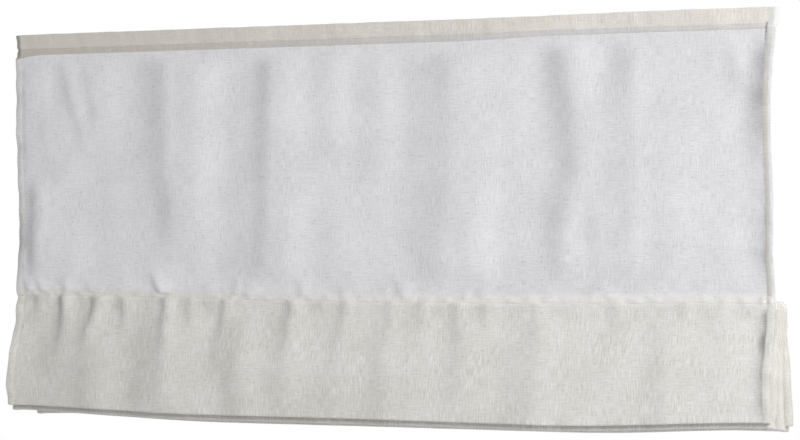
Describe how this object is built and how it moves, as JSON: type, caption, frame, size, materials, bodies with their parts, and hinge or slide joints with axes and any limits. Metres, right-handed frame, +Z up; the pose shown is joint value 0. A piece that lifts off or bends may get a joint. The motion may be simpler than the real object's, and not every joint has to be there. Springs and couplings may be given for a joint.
{
  "type": "roman blind",
  "caption": "Linen-look roman blind on a timber head batten, drawn up into soft folds held by rods in sewn pockets, with rings and screw eyes for lifting.",
  "frame": {"origin": "on the wall, at the middle of the four bracket screw holes", "axes": "+X along the width to the viewer's right, -Y out of the wall into the room, +Z up"},
  "size_m": [1.006, 0.0624, 0.4956],
  "materials": {
    "cloth": "off-white linen weave with slubs",
    "tape": "beige hook and loop tape",
    "timber": "planed pine, bare",
    "zinc_steel": "zinc plated",
    "rod_plastic": "white glass-fibre rod",
    "cap_plastic": "white moulded",
    "ring_plastic": "white moulded",
    "bar_paint": "white powder coat"
  },
  "bodies": {
    "headrail": {"head_batten": "timber", "hook_tape": "tape", "loop_tape": "tape", "angle_bracket_left": "zinc_steel", "angle_bracket_right": "zinc_steel", "bracket_screws": "zinc_steel", "screw_eye_left": "zinc_steel", "screw_eye_centre": "zinc_steel", "screw_eye_right": "zinc_steel", "screw_eye_lifting_side": "zinc_steel", "cloth_panel": "cloth"},
    "fold_1": {"rod_1": "rod_plastic", "rod_caps_1": "cap_plastic", "rings_1": "ring_plastic"},
    "fold_2": {"rod_2": "rod_plastic", "rod_caps_2": "cap_plastic", "rings_2": "ring_plastic"},
    "fold_3": {"rod_3": "rod_plastic", "rod_caps_3": "cap_plastic", "rings_3": "ring_plastic"},
    "fold_4": {"rod_4": "rod_plastic", "rod_caps_4": "cap_plastic", "rings_4": "ring_plastic"},
    "fold_5": {"rod_5": "rod_plastic", "rod_caps_5": "cap_plastic", "rings_5": "ring_plastic", "weight_bar": "bar_paint", "weight_bar_caps": "cap_plastic"}
  },
  "joints": [
    {"name": "raise", "type": "slide", "parent": "headrail", "child": "fold_1", "axis": [0, 0, 1], "range_m": [0, 0.28], "deforming": ["cloth_panel"]},
    {"name": "lower", "type": "slide", "parent": "fold_1", "child": "fold_2", "axis": [-0.0053, -0.0284, -0.9996], "range_m": [0, 0.28162], "deforming": ["cloth_panel"]},
    {"name": "open_fold_2", "type": "slide", "parent": "fold_2", "child": "fold_3", "axis": [-0.0053, -0.0284, -0.9996], "range_m": [0, 0.28162]},
    {"name": "open_fold_3", "type": "slide", "parent": "fold_3", "child": "fold_4", "axis": [-0.0053, -0.0284, -0.9996], "range_m": [0, 0.28162]},
    {"name": "open_fold_4", "type": "slide", "parent": "fold_4", "child": "fold_5", "axis": [-0.0053, -0.0284, -0.9996], "range_m": [0, 0.28162]}
  ],
  "couplings": [
    {"joint": "open_fold_2", "follows": "lower", "ratio": 1},
    {"joint": "open_fold_3", "follows": "lower", "ratio": 1},
    {"joint": "open_fold_4", "follows": "lower", "ratio": 1}
  ]
}
